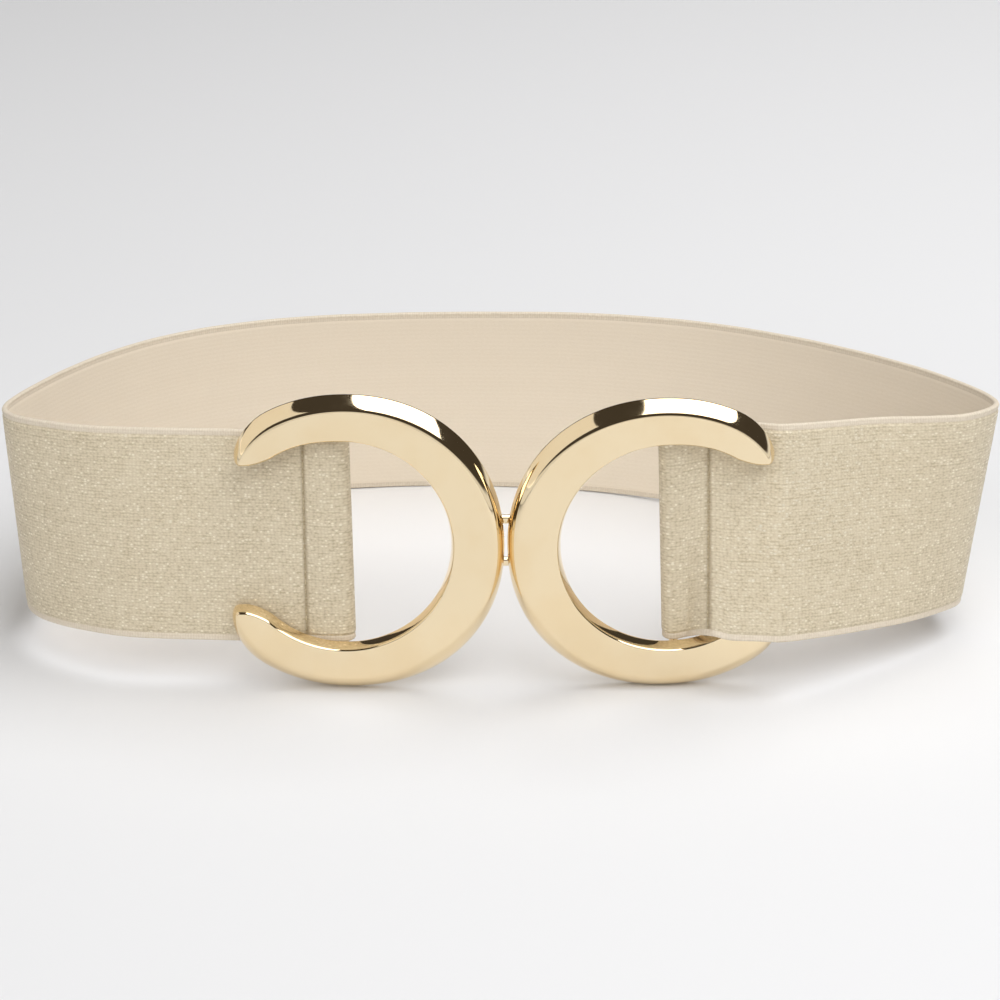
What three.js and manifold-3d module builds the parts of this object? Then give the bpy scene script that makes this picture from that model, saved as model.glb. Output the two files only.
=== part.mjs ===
// Elastic stretch belt, fastened: a wide elastic strap that runs once round a waist, and two open
// metal rings, back to back, that hook together at its front. Millimetres, +Z up, front towards -Y.
// The belt stands by itself: the rings reach below the strap, so it rests on them and on the strap's
// lower edge at the back, and its loop is pitched a few degrees.
//
// Three frames are used. The loop frame has the strap's middle line in its XY plane. Each ring has
// a frame of its own: u runs along the ring's face away from the clasp, depth runs from the face
// towards the wearer, and up is up. The clasp frame lies between the rings, square to the belt.

import * as THREE from "three";
import { mergeVertices } from "three/addons/utils/BufferGeometryUtils.js";
import Module from "manifold-3d";

const wasm = await Module();
wasm.setup();

// Strap
const STRAP_WIDTH = 57;
const STRAP_THICKNESS = 1.6;
const FOLD_CLEARANCE = 0.35;
const STITCH_DISTANCE = 12.4;
const TURNED_END_PAST_STITCH = 3.6;

// Loop that the strap's middle line follows, seen from above
const LOOP_HALF_LENGTH = 129.4;
const LOOP_FRONT_DEPTH = 31.5;
const LOOP_BACK_DEPTH = 99;
const LOOP_SKEW = 13;
const END_SHAPE = 0.77;
const FRONT_SHAPE = 1.02;
const BACK_SHAPE = 1.47;
const LOOP_LEFT_START = 232;
const LOOP_RIGHT_END = -39;
const LOOP_RUNGS = 30;

// Rings, with the same casting on both sides: an oval band, open on the side away from the clasp,
// whose flanks flare from the face and round over towards the back
const RING_HALF_WIDTH = 38;
const RING_HALF_HEIGHT = 36.1;
const RING_OFFSET = 1.2;
const RING_FULLNESS = 2.12;
const HOLE_HALF_WIDTH = 29.1;
const HOLE_HALF_HEIGHT = 28.8;
const RING_THICKNESS = 5.5;
const WIDEST_DEPTH = 3.9;
const SIDE_FLARE = 2.5;
const TOP_FLARE = 3.8;
const HOLE_FLARE = 1.2;
const MOUTH_FLARE = 1.7;
const MOUTH_TOP = 22.1;
const MOUTH_BOTTOM = 18.2;
const TIP_ROUNDING = 10;
const TIP_FLARED_ROUNDING = 8;
const TIP_INNER_ROUNDING = 1.2;
const TIP_ROUNDED_SHARE = 0.8;
const TIP_FULLNESS = 0.55;
const FACE_EDGE_BREAK = 0.3;
const BACK_EDGE_BREAK = 0.6;
const OUTER_ARC_STEPS = 52;
const INNER_ARC_STEPS = 40;
const TIP_STEPS = 6;
const FLANK_STEPS = 3;

// Bar that each strap end is folded round, carried on two lugs behind the ring
const BAR_RADIUS = 1.25;
const BAR_SIDES = 16;
const FOLD_EDGE_FROM_CENTRE = 1.9;
const LUG_INSIDE_HEIGHT = 31.6;
const LUG_HEIGHT = 2.8;
const LUG_WIDTH = 3.4;
const LUG_PAST_BAR = 0.45;
const RING_TO_STRAP = 0.5;

// Clasp: a catch frame on the left ring and a hook on the right ring
const CLASP_X = 2.1;
const CLASP_Y = -38.6;
const CLASP_GAP = 1;
const CLASP_CLEARANCE = 0.35;
const CATCH_DEPTH = 7.3;
const CATCH_THICKNESS = 1.8;
const CATCH_OPENING_HEIGHT = 9.2;
const CATCH_ARM_HEIGHT = 2.4;
const CATCH_REACH = 6.3;
const CATCH_BAR_WIDTH = 2.4;
const CATCH_FOOT_WIDTH = 4.5;
const CATCH_FOOT_START = 2;
const CLASP_LIFT = -0.25;
const HOOK_STEM_WIDTH = 2;
const HOOK_HEIGHT = 8;
const HOOK_LIP_THICKNESS = 1.6;
const HOOK_LIP_REACH = 3.4;
const JOIN_DEPTH = 0.6;

// How each ring lies: yaw turns its far side towards the back, turn raises its far side, tilt brings
// its top forward, all in degrees, and lift is the height of its centre
const LEFT = { side: -1, yaw: 2.5, turn: -0.8, tilt: 0, lift: 0.2 };
const RIGHT = { side: 1, yaw: 1, turn: 1.8, tilt: 3, lift: -0.4 };

// The strap's two edges near each ring. u is a share of the hole's half width, upper and lower are
// how far each edge has moved from behind the ring (0) to in front of its face (1), lift is how far
// the strap rides up on the ring and squeeze how much its lower edge is pushed up, both as shares
// of the strap's width.
const LEFT_END_ROWS = [
  { u: 0.20, upper: 0.00, lower: 0.00, lift: 0.000, squeeze: 0.000 },
  { u: 0.75, upper: -0.30, lower: 0.00, lift: 0.003, squeeze: -0.004 },
  { u: 1.05, upper: -0.36, lower: 0.00, lift: 0.005, squeeze: -0.006 },
];
const RIGHT_END_ROWS = [
  { u: 0.11, upper: 0.00, lower: 0.00, lift: 0.044, squeeze: -0.042 },
  { u: 0.17, upper: -0.03, lower: 0.00, lift: 0.046, squeeze: -0.028 },
  { u: 0.24, upper: -0.08, lower: 0.10, lift: 0.048, squeeze: 0.002 },
  { u: 0.30, upper: -0.15, lower: 0.58, lift: 0.050, squeeze: 0.014 },
  { u: 0.37, upper: -0.21, lower: 1.08, lift: 0.052, squeeze: 0.044 },
  { u: 0.46, upper: -0.24, lower: 1.14, lift: 0.052, squeeze: 0.024 },
  { u: 0.70, upper: -0.24, lower: 1.14, lift: 0.051, squeeze: 0.016 },
  { u: 1.05, upper: -0.20, lower: 1.12, lift: 0.042, squeeze: 0.016 },
];

// How the strap leans and rides round the loop: share is the way from its left to its right
// junction, lean is outwards at the top in degrees, lift a share of the strap's width.
const LOOP_ROWS = [
  { share: 0.00, lean: -3.5, lift: 0.006 },
  { share: 0.05, lean: 0, lift: 0.004 },
  { share: 0.16, lean: 4, lift: 0.000 },
  { share: 0.34, lean: 0, lift: -0.004 },
  { share: 0.50, lean: -7.5, lift: 0.000 },
  { share: 0.66, lean: 0, lift: -0.006 },
  { share: 0.86, lean: 8, lift: 0.000 },
  { share: 0.94, lean: 5, lift: -0.004 },
  { share: 1.00, lean: -5.5, lift: 0.006 },
];

const GOLD = { color: 0xe8cf9a, roughness: 0.12, metalness: 1 };
const ELASTIC = { color: 0xd3c5a0, roughness: 0.7, metalness: 0.1 };

// Worked out from the sizes above
const FOLD_RADIUS = BAR_RADIUS + FOLD_CLEARANCE + STRAP_THICKNESS / 2;
const BEHIND_RING = RING_THICKNESS + RING_TO_STRAP + STRAP_THICKNESS / 2;
const BEFORE_RING = -RING_TO_STRAP - STRAP_THICKNESS / 2;
const BAR_U = FOLD_RADIUS + STRAP_THICKNESS / 2 - FOLD_EDGE_FROM_CENTRE;
const BAR_DEPTH = BEHIND_RING + FOLD_RADIUS;
const STITCH_U = STITCH_DISTANCE - FOLD_EDGE_FROM_CENTRE;
const TURNED_GAP = STRAP_THICKNESS + FOLD_CLEARANCE;
const PAST_BAR_U = BAR_U + BAR_RADIUS;
const CLASP_TO_RING = CLASP_GAP / 2 + SIDE_FLARE + RING_HALF_WIDTH + RING_OFFSET;

const radians = THREE.MathUtils.degToRad;

function signedPower(value, power) {
  return Math.sign(value) * Math.abs(value) ** power;
}

// The value of one column of a table at a place, eased from row to row
function readRows(rows, key, place, column) {
  const last = rows.length - 1;
  if (place <= rows[0][key]) return rows[0][column];
  if (place >= rows[last][key]) return rows[last][column];
  const next = rows.findIndex((row) => row[key] > place);
  const from = rows[next - 1];
  const to = rows[next];
  const way = THREE.MathUtils.smoothstep(place, from[key], to[key]);
  return THREE.MathUtils.lerp(from[column], to[column], way);
}

// A closed mesh from vertices and outward-facing triangles
function closedGeometry(points, triangles) {
  const geometry = new THREE.BufferGeometry();
  const numbers = points.flatMap((point) => [point.x, point.y, point.z]);
  geometry.setAttribute("position", new THREE.Float32BufferAttribute(numbers, 3));
  geometry.setIndex(triangles);
  return geometry;
}

// Joins closed meshes into one solid
function join(geometries) {
  const solids = geometries.map((geometry) => {
    const plain = geometry.clone();
    plain.deleteAttribute("normal");
    plain.deleteAttribute("uv");
    const merged = mergeVertices(plain);
    const mesh = new wasm.Mesh({
      numProp: 3,
      vertProperties: new Float32Array(merged.attributes.position.array),
      triVerts: new Uint32Array(merged.index.array),
    });
    return new wasm.Manifold(mesh);
  });
  const whole = solids.reduce((sum, solid) => sum.add(solid));
  const result = whole.getMesh();
  const geometry = new THREE.BufferGeometry();
  geometry.setAttribute("position", new THREE.BufferAttribute(result.vertProperties, 3));
  geometry.setIndex(new THREE.BufferAttribute(result.triVerts, 1));
  return geometry;
}

// A box between two corners
function boxBetween(low, high) {
  const size = high.clone().sub(low);
  const box = new THREE.BoxGeometry(size.x, size.y, size.z);
  const centre = low.clone().add(high).multiplyScalar(0.5);
  return box.translate(centre.x, centre.y, centre.z);
}

// One outline of the open ring, flared from the face's by a share and drawn in by an inset. It runs
// along the outer oval past the clasp side, round the lower tip, back along the hole and round the
// upper tip. The tips are cut level, and their outer corners are well rounded.
function ringOutline(flared, inset) {
  const outer = {
    centre: -RING_OFFSET,
    halfWidth: RING_HALF_WIDTH + flared * SIDE_FLARE - inset,
    halfHeight: RING_HALF_HEIGHT + flared * TOP_FLARE - inset,
    roundness: 2 / THREE.MathUtils.lerp(2, RING_FULLNESS, flared),
  };
  const hole = {
    centre: 0,
    halfWidth: HOLE_HALF_WIDTH - flared * HOLE_FLARE + inset,
    halfHeight: HOLE_HALF_HEIGHT - flared * HOLE_FLARE + inset,
    roundness: 1,
  };
  const upperCut = MOUTH_TOP - flared * MOUTH_FLARE + inset;
  const lowerCut = -MOUTH_BOTTOM + flared * MOUTH_FLARE - inset;

  const tipRounding = TIP_ROUNDING + flared * TIP_FLARED_ROUNDING;

  function ovalPoint(oval, angle) {
    const across = oval.halfWidth * signedPower(Math.cos(angle), oval.roundness);
    const high = oval.halfHeight * signedPower(Math.sin(angle), oval.roundness);
    return new THREE.Vector2(oval.centre + across, high);
  }

  // The angle, on the mouth's side, at which an oval reaches a height
  function angleAt(oval, height) {
    return Math.asin(signedPower(height / oval.halfHeight, 1 / oval.roundness));
  }

  // Points along an oval between the cuts, stopping short of them for the tips' roundings
  function arc(oval, rounding, steps) {
    const start = angleAt(oval, upperCut) + rounding / oval.halfWidth;
    const finish = 2 * Math.PI + angleAt(oval, lowerCut) - rounding / oval.halfWidth;
    const points = [];
    for (let step = 0; step <= steps; step++) {
      points.push(ovalPoint(oval, THREE.MathUtils.lerp(start, finish, step / steps)));
    }
    return points;
  }

  // Where an oval would meet a cut if the corner between them were sharp
  function sharpCorner(oval, cut) {
    return ovalPoint(oval, angleAt(oval, cut));
  }

  // The rounded corner from the end of an arc, which it leaves smoothly, to a point on a cut
  function corner(end, beforeEnd, sharp, onCut) {
    const reach = TIP_FULLNESS * end.distanceTo(sharp);
    const leaving = end.clone().sub(beforeEnd).setLength(reach).add(end);
    const arriving = onCut.clone().lerp(sharp, TIP_FULLNESS);
    return new THREE.CubicBezierCurve(end, leaving, arriving, onCut).getPoints(TIP_STEPS).slice(1);
  }

  // Both corners of a tip, from the outer arc's last two points to the hole's
  function tip(outerEnd, beforeOuterEnd, holeEnd, beforeHoleEnd, cut) {
    const outerSharp = sharpCorner(outer, cut);
    const holeSharp = sharpCorner(hole, cut);
    const holeOnCut = new THREE.Vector2(holeSharp.x + TIP_INNER_ROUNDING, cut);
    const outerOnCut = outerSharp.clone().lerp(holeOnCut, TIP_ROUNDED_SHARE);
    return [
      ...corner(outerEnd, beforeOuterEnd, outerSharp, outerOnCut),
      ...corner(holeEnd, beforeHoleEnd, holeSharp, holeOnCut).reverse(),
    ];
  }

  const outerArc = arc(outer, tipRounding, OUTER_ARC_STEPS);
  const holeArc = arc(hole, TIP_INNER_ROUNDING, INNER_ARC_STEPS);
  const lowerTip = tip(outerArc.at(-1), outerArc.at(-2), holeArc.at(-1), holeArc.at(-2), lowerCut);
  const upperTip = tip(outerArc[0], outerArc[1], holeArc[0], holeArc[1], upperCut);
  return [...outerArc, ...lowerTip, ...holeArc.reverse(), ...upperTip.reverse()];
}

// The open ring: its outline lofted from the face, whose edge is broken, over the rounded flanks to
// the back. The flank is a quarter of an oval whose widest place is behind the middle.
function openRing() {
  const layers = [{ depth: 0, flared: 0, inset: FACE_EDGE_BREAK }];
  for (let step = 0; step <= FLANK_STEPS; step++) {
    const angle = (Math.PI / 2) * (step / FLANK_STEPS);
    const rise = WIDEST_DEPTH - FACE_EDGE_BREAK;
    const depth = WIDEST_DEPTH - rise * Math.cos(angle);
    layers.push({ depth, flared: Math.sin(angle), inset: 0 });
  }
  layers.push({ depth: RING_THICKNESS - BACK_EDGE_BREAK, flared: 1, inset: BACK_EDGE_BREAK / 2 });
  layers.push({ depth: RING_THICKNESS, flared: 1, inset: 2 * BACK_EDGE_BREAK });
  const outlines = layers.map((layer) => ringOutline(layer.flared, layer.inset));
  const count = outlines[0].length;
  const points = outlines.flatMap((outline, layer) =>
    outline.map((point) => new THREE.Vector3(point.x, layers[layer].depth, point.y)),
  );
  const triangles = [];
  for (let layer = 0; layer < layers.length - 1; layer++) {
    for (let index = 0; index < count; index++) {
      const next = (index + 1) % count;
      const a = layer * count + index;
      const b = layer * count + next;
      triangles.push(a, a + count, b, b, a + count, b + count);
    }
  }
  for (const [a, b, c] of THREE.ShapeUtils.triangulateShape(outlines[0], [])) {
    triangles.push(a, b, c);
  }
  const backStart = (layers.length - 1) * count;
  for (const [a, b, c] of THREE.ShapeUtils.triangulateShape(outlines[layers.length - 1], [])) {
    triangles.push(backStart + a, backStart + c, backStart + b);
  }
  return closedGeometry(points, triangles);
}

// The bar and the two lugs that carry it, in the ring's own frame
function barAndLugs() {
  const barReach = LUG_INSIDE_HEIGHT + LUG_HEIGHT / 2;
  const lugBack = BAR_DEPTH + BAR_RADIUS + LUG_PAST_BAR;
  const bar = new THREE.CylinderGeometry(BAR_RADIUS, BAR_RADIUS, 2 * barReach, BAR_SIDES);
  bar.rotateX(Math.PI / 2);
  bar.translate(BAR_U, BAR_DEPTH, 0);
  const lugs = [-1, 1].map((up) => {
    const near = up * LUG_INSIDE_HEIGHT;
    const far = up * (LUG_INSIDE_HEIGHT + LUG_HEIGHT);
    return boxBetween(
      new THREE.Vector3(BAR_U - LUG_WIDTH / 2, RING_THICKNESS - JOIN_DEPTH, Math.min(near, far)),
      new THREE.Vector3(BAR_U + LUG_WIDTH / 2, lugBack, Math.max(near, far)),
    );
  });
  return [bar, ...lugs];
}

// The catch frame, in the clasp frame: two arms, a far bar that the hook holds, and the foot that
// joins them to the back of the left ring
function catchFrame() {
  const front = CATCH_DEPTH;
  const back = CATCH_DEPTH + CATCH_THICKNESS;
  const half = CATCH_OPENING_HEIGHT / 2;
  const footEnd = -CATCH_FOOT_START - CATCH_FOOT_WIDTH;
  const top = half + CATCH_ARM_HEIGHT;
  const pieces = [
    boxBetween(new THREE.Vector3(footEnd, front, half), new THREE.Vector3(CATCH_REACH, back, top)),
    boxBetween(new THREE.Vector3(footEnd, front, -top), new THREE.Vector3(CATCH_REACH, back, -half)),
    boxBetween(
      new THREE.Vector3(CATCH_REACH - CATCH_BAR_WIDTH, front, -top),
      new THREE.Vector3(CATCH_REACH, back, top),
    ),
    boxBetween(
      new THREE.Vector3(footEnd, RING_THICKNESS - JOIN_DEPTH, -top),
      new THREE.Vector3(-CATCH_FOOT_START, back, top),
    ),
  ];
  return pieces.map((piece) => piece.translate(0, 0, CLASP_LIFT));
}

// The hook, in the clasp frame: a stem on the back of the right ring that passes through the catch
// frame, and a lip that reaches behind the frame's far bar
function hook() {
  const stemEnd = CATCH_REACH - CATCH_BAR_WIDTH - CLASP_CLEARANCE;
  const stemStart = stemEnd - HOOK_STEM_WIDTH;
  const lipDepth = CATCH_DEPTH + CATCH_THICKNESS + CLASP_CLEARANCE;
  const lipEnd = lipDepth + HOOK_LIP_THICKNESS;
  const half = HOOK_HEIGHT / 2;
  const pieces = [
    boxBetween(
      new THREE.Vector3(stemStart, RING_THICKNESS - JOIN_DEPTH, -half),
      new THREE.Vector3(stemEnd, lipEnd, half),
    ),
    boxBetween(
      new THREE.Vector3(stemStart, lipDepth, -half),
      new THREE.Vector3(stemEnd + HOOK_LIP_REACH, lipEnd, half),
    ),
  ];
  return pieces.map((piece) => piece.translate(0, 0, CLASP_LIFT));
}

// From a ring's own frame to the loop frame, with a share of the ring's turn and tilt
function ringMatrix(end, turned) {
  const yaw = radians(end.yaw);
  const away = new THREE.Vector3(end.side * Math.cos(yaw), Math.sin(yaw), 0);
  const back = new THREE.Vector3(-end.side * Math.sin(yaw), Math.cos(yaw), 0);
  const up = new THREE.Vector3(0, 0, 1);
  const turnAxis = new THREE.Vector3().crossVectors(away, up);
  const tiltAxis = new THREE.Vector3().crossVectors(back, up);
  const axes = [away, back, up].map((axis) =>
    axis
      .clone()
      .applyAxisAngle(turnAxis, radians(end.turn * turned))
      .applyAxisAngle(tiltAxis, radians(end.tilt * turned)),
  );
  const centre = new THREE.Vector3(CLASP_X, CLASP_Y, end.lift).addScaledVector(away, CLASP_TO_RING);
  return new THREE.Matrix4().makeBasis(...axes).setPosition(centre);
}

// A geometry moved by a matrix, with its triangles turned over where the matrix mirrors
function moved(geometry, matrix) {
  const plain = geometry.index ? geometry.toNonIndexed() : geometry.clone();
  plain.deleteAttribute("normal");
  plain.deleteAttribute("uv");
  plain.applyMatrix4(matrix);
  if (matrix.determinant() > 0) return plain;
  const position = plain.attributes.position;
  const corner = new THREE.Vector3();
  const other = new THREE.Vector3();
  for (let index = 0; index < position.count; index += 3) {
    corner.fromBufferAttribute(position, index + 1);
    other.fromBufferAttribute(position, index + 2);
    position.setXYZ(index + 1, other.x, other.y, other.z);
    position.setXYZ(index + 2, corner.x, corner.y, corner.z);
  }
  return plain;
}

// One ring with its bar, its lugs and its half of the clasp, in the loop frame
function ringCasting(end, claspPieces) {
  const toLoop = ringMatrix(end, 1);
  const toClasp = new THREE.Matrix4().makeTranslation(CLASP_X, CLASP_Y, 0);
  const pieces = [openRing(), ...barAndLugs()].map((piece) => moved(piece, toLoop));
  const clasp = claspPieces.map((piece) => moved(piece, toClasp));
  return join([...pieces, ...clasp]);
}

// One rung of the strap is its upper and lower edge at one place, in the loop frame. At the fold it
// follows the ring's turn, and from the stitches on it is level again.
function endRung(end, rows, u, extraDepth) {
  const share = u / HOLE_HALF_WIDTH;
  const read = (column) => readRows(rows, "u", share, column);
  const depthAt = (forward) => THREE.MathUtils.lerp(BEHIND_RING, BEFORE_RING, forward);
  const half = STRAP_WIDTH / 2;
  const lift = read("lift") * STRAP_WIDTH;
  const rise = read("squeeze") * STRAP_WIDTH;
  const toLoop = ringMatrix(end, 1 - THREE.MathUtils.smoothstep(u, PAST_BAR_U, STITCH_U));
  return {
    upper: new THREE.Vector3(u, depthAt(read("upper")) + extraDepth, half + lift).applyMatrix4(toLoop),
    lower: new THREE.Vector3(u, depthAt(read("lower")) + extraDepth, rise + lift - half)
      .applyMatrix4(toLoop),
  };
}

// The strap's end: its turned-under flap, the fold round the bar and the stretch past the ring
function endRungs(end, rows) {
  const rungs = [];
  const flapEnd = STITCH_U + TURNED_END_PAST_STITCH;
  const flapSteps = 6;
  for (let step = 0; step < flapSteps; step++) {
    const u = THREE.MathUtils.lerp(flapEnd, BAR_U, step / flapSteps);
    const spread = THREE.MathUtils.smoothstep(STITCH_U - u, 0, STITCH_U - PAST_BAR_U);
    const gap = THREE.MathUtils.lerp(TURNED_GAP, 2 * FOLD_RADIUS, spread);
    rungs.push(endRung(end, rows, u, gap));
  }
  const foldSteps = 6;
  for (let step = 0; step < foldSteps; step++) {
    const angle = (Math.PI * step) / foldSteps;
    const u = BAR_U - FOLD_RADIUS * Math.sin(angle);
    rungs.push(endRung(end, rows, u, FOLD_RADIUS * (1 + Math.cos(angle))));
  }
  const frontSteps = 8;
  for (let step = 0; step <= frontSteps; step++) {
    const u = THREE.MathUtils.lerp(BAR_U, HOLE_HALF_WIDTH, step / frontSteps);
    rungs.push(endRung(end, rows, u, 0));
  }
  return rungs;
}

function loopPoint(angle) {
  const across = Math.cos(angle);
  const deep = Math.sin(angle);
  const reach = deep > 0 ? LOOP_BACK_DEPTH : LOOP_FRONT_DEPTH;
  const shape = deep > 0 ? BACK_SHAPE : FRONT_SHAPE;
  return new THREE.Vector3(
    LOOP_HALF_LENGTH * signedPower(across, END_SHAPE) - LOOP_SKEW * deep ** 2,
    reach * signedPower(deep, shape),
    0,
  );
}

// The free loop from its left junction round the back to its right junction
function loopRungs() {
  const start = radians(LOOP_LEFT_START);
  const finish = radians(LOOP_RIGHT_END);
  const small = radians(1);
  const rungs = [];
  for (let step = 0; step <= LOOP_RUNGS; step++) {
    const share = step / LOOP_RUNGS;
    const angle = THREE.MathUtils.lerp(start, finish, share);
    const along = loopPoint(angle - small).sub(loopPoint(angle + small)).normalize();
    const out = new THREE.Vector3(-along.y, along.x, 0);
    const lean = radians(readRows(LOOP_ROWS, "share", share, "lean"));
    const lift = readRows(LOOP_ROWS, "share", share, "lift") * STRAP_WIDTH;
    const arm = new THREE.Vector3(0, 0, Math.cos(lean)).addScaledVector(out, Math.sin(lean));
    arm.multiplyScalar(STRAP_WIDTH / 2);
    const middle = loopPoint(angle).setZ(lift);
    rungs.push({ upper: middle.clone().add(arm), lower: middle.clone().sub(arm) });
  }
  return rungs;
}

// The whole strap as one band of even thickness
function elasticStrap() {
  const rungs = [
    ...endRungs(LEFT, LEFT_END_ROWS),
    ...loopRungs(),
    ...endRungs(RIGHT, RIGHT_END_ROWS).reverse(),
  ];
  const uppers = new THREE.CatmullRomCurve3(rungs.map((rung) => rung.upper));
  const lowers = new THREE.CatmullRomCurve3(rungs.map((rung) => rung.lower));
  const steps = 2 * (rungs.length - 1);
  const top = [];
  const bottom = [];
  for (let step = 0; step <= steps; step++) {
    top.push(uppers.getPoint(step / steps));
    bottom.push(lowers.getPoint(step / steps));
  }
  const points = [];
  for (let step = 0; step <= steps; step++) {
    const rise = top[step].clone().sub(bottom[step]);
    const before = Math.max(step - 1, 0);
    const after = Math.min(step + 1, steps);
    const sides = [top, bottom].map((edge) => {
      const along = edge[after].clone().sub(edge[before]);
      const out = rise.clone().cross(along).normalize().multiplyScalar(STRAP_THICKNESS / 2);
      return [edge[step].clone().add(out), edge[step].clone().sub(out)];
    });
    points.push(sides[0][0], sides[0][1], sides[1][1], sides[1][0]);
  }
  const triangles = [];
  for (let step = 0; step < steps; step++) {
    for (let corner = 0; corner < 4; corner++) {
      const a = 4 * step + corner;
      const b = 4 * step + ((corner + 1) % 4);
      triangles.push(a, b, a + 4, b, b + 4, a + 4);
    }
  }
  const last = 4 * steps;
  triangles.push(0, 2, 1, 0, 3, 2);
  triangles.push(last, last + 1, last + 2, last, last + 2, last + 3);
  return closedGeometry(points, triangles);
}

function part(name, geometry, finish) {
  const mesh = new THREE.Mesh(geometry, new THREE.MeshStandardMaterial(finish));
  mesh.name = name;
  return mesh;
}

// The pitch at which the lowest point of the front half and that of the back half are level
function standingPitch(meshes) {
  const corner = new THREE.Vector3();
  function lowest(pitch, isFront) {
    const turn = new THREE.Matrix4().makeRotationX(-pitch);
    let low = Infinity;
    for (const mesh of meshes) {
      const position = mesh.geometry.attributes.position;
      for (let index = 0; index < position.count; index++) {
        corner.fromBufferAttribute(position, index);
        if (corner.y < 0 === isFront) low = Math.min(low, corner.applyMatrix4(turn).z);
      }
    }
    return low;
  }
  let flat = 0;
  let steep = radians(30);
  const halvings = 40;
  for (let round = 0; round < halvings; round++) {
    const middle = (flat + steep) / 2;
    if (lowest(middle, true) < lowest(middle, false)) flat = middle;
    else steep = middle;
  }
  return (flat + steep) / 2;
}

const belt = new THREE.Group();
belt.add(part("elastic_strap", elasticStrap(), ELASTIC));
belt.add(part("left_ring", ringCasting(LEFT, catchFrame()), GOLD));
belt.add(part("right_ring", ringCasting(RIGHT, hook()), GOLD));
belt.rotation.x = -standingPitch(belt.children);
belt.updateMatrixWorld(true);

// The origin is under the middle of the belt, on the surface that it stands on
const reach = new THREE.Box3().setFromObject(belt, true);
const middle = reach.getCenter(new THREE.Vector3());
belt.position.set(-middle.x, -middle.y, -reach.min.z);

const group = new THREE.Group();
group.add(belt);
group.updateMatrixWorld(true);

export default group;
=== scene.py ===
"""Looks of a fastened elastic waist belt, closed at its front by two open metal rings.

All sizes are in millimetres and degrees, and the meshes are made in metres. The loop frame has the
strap's middle line in its XY plane. A ring's own frame has u along its face away from the clasp,
depth from the face towards the wearer, and up. The clasp frame lies between the rings.
"""

import logging
import math
from collections.abc import Sequence
from dataclasses import dataclass, field
from enum import Enum

import bmesh
import bpy
import numpy as np
from mathutils import Matrix, Vector


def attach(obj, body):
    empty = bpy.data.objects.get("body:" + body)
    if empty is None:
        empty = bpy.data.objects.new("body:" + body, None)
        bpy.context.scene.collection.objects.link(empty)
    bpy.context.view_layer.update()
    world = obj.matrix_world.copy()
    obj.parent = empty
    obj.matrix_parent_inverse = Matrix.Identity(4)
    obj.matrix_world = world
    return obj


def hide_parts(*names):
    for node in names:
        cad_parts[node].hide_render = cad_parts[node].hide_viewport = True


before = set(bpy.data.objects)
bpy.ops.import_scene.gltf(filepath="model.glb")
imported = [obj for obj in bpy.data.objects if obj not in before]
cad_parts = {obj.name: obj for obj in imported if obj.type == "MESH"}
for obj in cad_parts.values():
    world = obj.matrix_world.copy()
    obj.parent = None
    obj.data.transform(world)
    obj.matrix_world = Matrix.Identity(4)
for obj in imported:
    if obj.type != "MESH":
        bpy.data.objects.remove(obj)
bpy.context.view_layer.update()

log = logging.getLogger("belt")

METRE = 0.001
BODY = "root"
LAY = "lay"
SHARP_ANGLE = 42.0

Colour = tuple[float, float, float]


class Side(Enum):
    """Which half of the belt a piece belongs to."""

    LEFT = -1
    RIGHT = 1


class Stretch(Enum):
    """The stretches that a strap is made of, from one end to the other."""

    FLAP = "turned under"
    FOLD = "round the bar"
    FRONT = "beside the ring"
    LOOP = "round the waist"


class Face(Enum):
    """The parts of the strap's surface, in the order of its materials."""

    OUTSIDE = 0
    INSIDE = 1
    SELVEDGE = 2


def signed_power(value: float, power: float) -> float:
    """Raise a number's size to a power and keep its sign."""
    return math.copysign(abs(value) ** power, value)


def mix(start: float, end: float, share: float) -> float:
    """Go a share of the way from one number to another."""
    return start + (end - start) * share


def ease(value: float, low: float, high: float) -> float:
    """Rise smoothly from 0 at the low number to 1 at the high one."""
    share = min(max((value - low) / (high - low), 0.0), 1.0)
    return share * share * (3 - 2 * share)


def table(columns: str, *rows: tuple[float, ...]) -> list[dict[str, float]]:
    """Name the columns of a table's rows."""
    return [dict(zip(columns.split(), row)) for row in rows]


def read_rows(rows: Sequence[dict[str, float]], key: str, place: float, column: str) -> float:
    """Read one column of a table at a place, eased from row to row.

    Args:
        rows: The table's rows, in rising order of the key column.
        key: The column that holds the places.
        place: Where the value is wanted.
        column: The column that holds the values.

    Returns:
        The value at that place.
    """
    if place <= rows[0][key]:
        return rows[0][column]
    for before, after in zip(rows, rows[1:]):
        if place < after[key]:
            return mix(before[column], after[column], ease(place, before[key], after[key]))
    return rows[-1][column]


def curve_point(points: np.ndarray, segment: int, share: float) -> np.ndarray:
    """Find a point of the smooth curve that runs through a row of points.

    Args:
        points: The points that the curve passes, one in each row.
        segment: The number of the stretch between two points.
        share: How far along that stretch the wanted point is.

    Returns:
        The point on the curve, with knots spaced by the square root of the distances.
    """
    last = len(points) - 1
    start, end = points[segment], points[segment + 1]
    before = points[segment - 1] if segment else 2 * start - end
    after = points[segment + 2] if segment + 2 <= last else 2 * end - start
    knots = [np.linalg.norm(b - a) ** 0.5 for a, b in ((before, start), (start, end), (end, after))]
    first, middle, third = knots
    leave = (start - before) / first - (end - before) / (first + middle) + (end - start) / middle
    arrive = (end - start) / middle - (after - start) / (middle + third) + (after - end) / third
    leave, arrive = leave * middle, arrive * middle
    square = -3 * start + 3 * end - 2 * leave - arrive
    cube = 2 * start - 2 * end + leave + arrive
    return start + share * (leave + share * (square + share * cube))


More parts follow.
